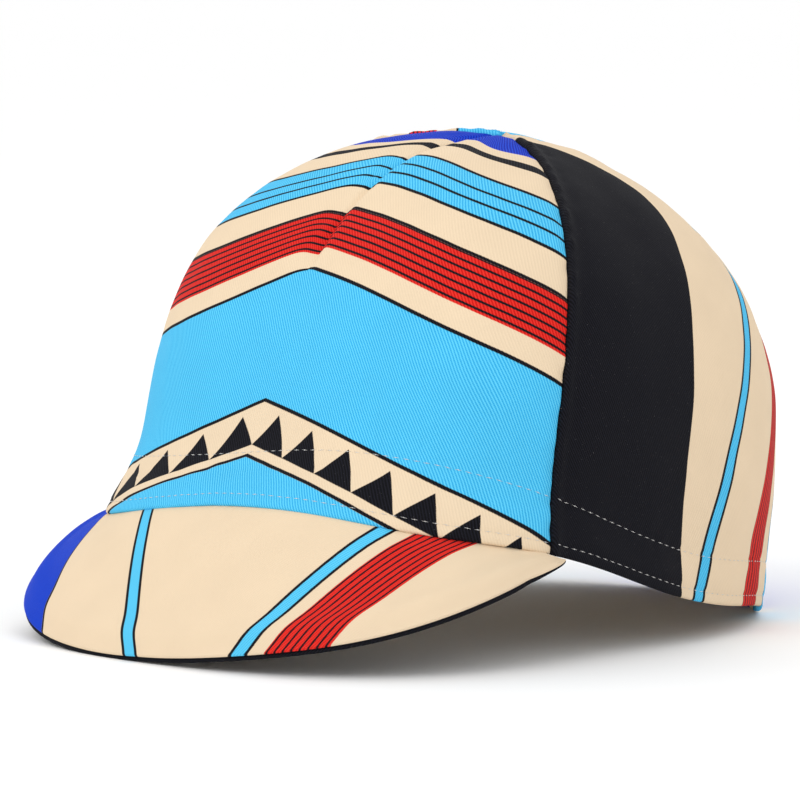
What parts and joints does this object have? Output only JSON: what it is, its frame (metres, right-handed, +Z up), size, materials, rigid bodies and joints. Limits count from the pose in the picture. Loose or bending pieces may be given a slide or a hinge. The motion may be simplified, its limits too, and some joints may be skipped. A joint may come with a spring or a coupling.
{
  "type": "cycling cap",
  "caption": "Short-peaked cotton cycling cap: front panel with a centre dart, back panels with a centre-back seam, folded hem and a sloping curved peak.",
  "frame": {"origin": "on the table, under the middle of the cap's outer box", "axes": "+Z up as the cap rests, the peak looks along -Y, the wearer's left ear is on +X"},
  "size_m": [0.1798, 0.231, 0.1473],
  "materials": {
    "printed_twill": "matt cotton twill printed in cream, sky blue, royal blue, red and black",
    "black_twill": "matt black cotton twill"
  },
  "bodies": {
    "root": {"front_panel": "printed_twill", "back_panel_left": "printed_twill", "back_panel_right": "printed_twill", "peak_top": "printed_twill", "peak_underside": "black_twill"}
  },
  "joints": []
}
